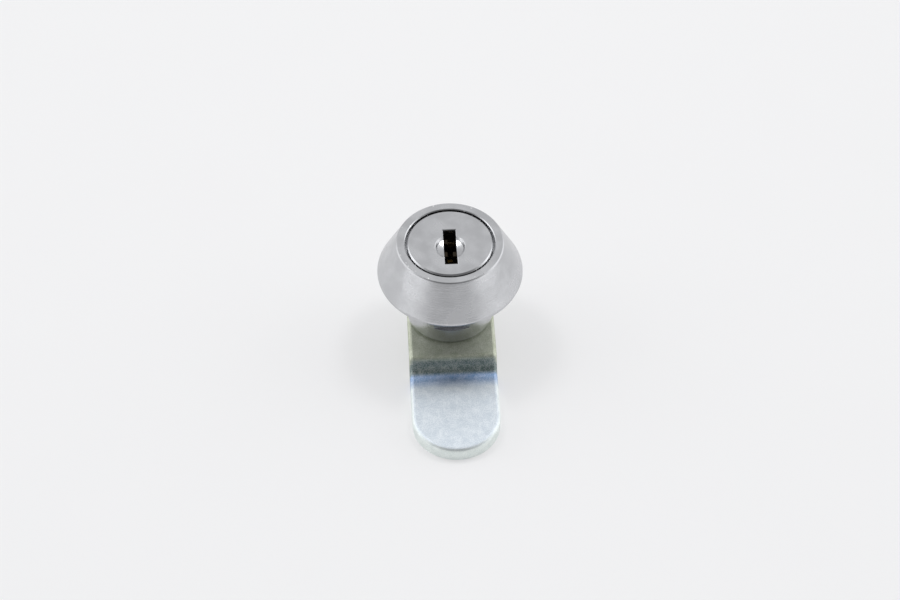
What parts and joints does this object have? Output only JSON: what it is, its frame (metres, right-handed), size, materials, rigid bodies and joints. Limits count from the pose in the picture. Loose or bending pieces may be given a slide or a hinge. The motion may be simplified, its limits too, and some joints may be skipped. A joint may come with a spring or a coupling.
{
  "type": "cam lock",
  "caption": "Key-operated cam lock with a conical head, a short flatted barrel, plate tumblers and a cranked cam that turns a quarter turn.",
  "frame": {"origin": "on the lock's axis, in the plane of the head's underside, which seats on the panel", "axes": "+Z along the axis, out of the face towards the key; the cam points along -Y at rest"},
  "size_m": [0.0264, 0.0432, 0.0247],
  "materials": {
    "housing_chrome": "satin chrome on die-cast zinc, with fine turning marks",
    "plug_chrome": "satin chrome on die-cast zinc",
    "cam_zinc": "blue-white zinc plate on pressed steel",
    "fastener_zinc": "bright zinc plate",
    "tumbler_brass": "plain stamped brass",
    "spring_steel": "drawn spring wire"
  },
  "bodies": {
    "case": {"housing": "housing_chrome"},
    "core": {"plug": "plug_chrome", "cam": "cam_zinc", "lock_washer": "fastener_zinc", "cam_screw": "fastener_zinc", "tumbler_spring_1": "spring_steel", "tumbler_spring_2": "spring_steel", "tumbler_spring_3": "spring_steel", "tumbler_spring_4": "spring_steel", "tumbler_spring_5": "spring_steel", "tumbler_spring_6": "spring_steel", "tumbler_spring_7": "spring_steel", "tumbler_spring_8": "spring_steel"},
    "plate_1": {"tumbler_1": "tumbler_brass"},
    "plate_2": {"tumbler_2": "tumbler_brass"},
    "plate_3": {"tumbler_3": "tumbler_brass"},
    "plate_4": {"tumbler_4": "tumbler_brass"},
    "plate_5": {"tumbler_5": "tumbler_brass"},
    "plate_6": {"tumbler_6": "tumbler_brass"},
    "plate_7": {"tumbler_7": "tumbler_brass"},
    "plate_8": {"tumbler_8": "tumbler_brass"}
  },
  "joints": [
    {"name": "plug_turn", "type": "hinge", "parent": "case", "child": "core", "pos_m": [0, 0, 0], "axis": [0, 0, -1], "range_deg": [0, 90]},
    {"name": "tumbler_slide_1", "type": "slide", "parent": "core", "child": "plate_1", "axis": [0, 1, 0], "range_m": [-0.0006, 0], "stiffness_N_per_m": 50, "springref_m": -0.002, "deforming": ["tumbler_spring_1"]},
    {"name": "tumbler_slide_2", "type": "slide", "parent": "core", "child": "plate_2", "axis": [0, -1, 0], "range_m": [-0.0006, 0], "stiffness_N_per_m": 50, "springref_m": -0.002, "deforming": ["tumbler_spring_2"]},
    {"name": "tumbler_slide_3", "type": "slide", "parent": "core", "child": "plate_3", "axis": [0, 1, 0], "range_m": [-0.0006, 0], "stiffness_N_per_m": 50, "springref_m": -0.002, "deforming": ["tumbler_spring_3"]},
    {"name": "tumbler_slide_4", "type": "slide", "parent": "core", "child": "plate_4", "axis": [0, -1, 0], "range_m": [-0.0006, 0], "stiffness_N_per_m": 50, "springref_m": -0.002, "deforming": ["tumbler_spring_4"]},
    {"name": "tumbler_slide_5", "type": "slide", "parent": "core", "child": "plate_5", "axis": [0, 1, 0], "range_m": [-0.0006, 0], "stiffness_N_per_m": 50, "springref_m": -0.002, "deforming": ["tumbler_spring_5"]},
    {"name": "tumbler_slide_6", "type": "slide", "parent": "core", "child": "plate_6", "axis": [0, -1, 0], "range_m": [-0.0006, 0], "stiffness_N_per_m": 50, "springref_m": -0.002, "deforming": ["tumbler_spring_6"]},
    {"name": "tumbler_slide_7", "type": "slide", "parent": "core", "child": "plate_7", "axis": [0, 1, 0], "range_m": [-0.0006, 0], "stiffness_N_per_m": 50, "springref_m": -0.002, "deforming": ["tumbler_spring_7"]},
    {"name": "tumbler_slide_8", "type": "slide", "parent": "core", "child": "plate_8", "axis": [0, -1, 0], "range_m": [-0.0006, 0], "stiffness_N_per_m": 50, "springref_m": -0.002, "deforming": ["tumbler_spring_8"]}
  ]
}
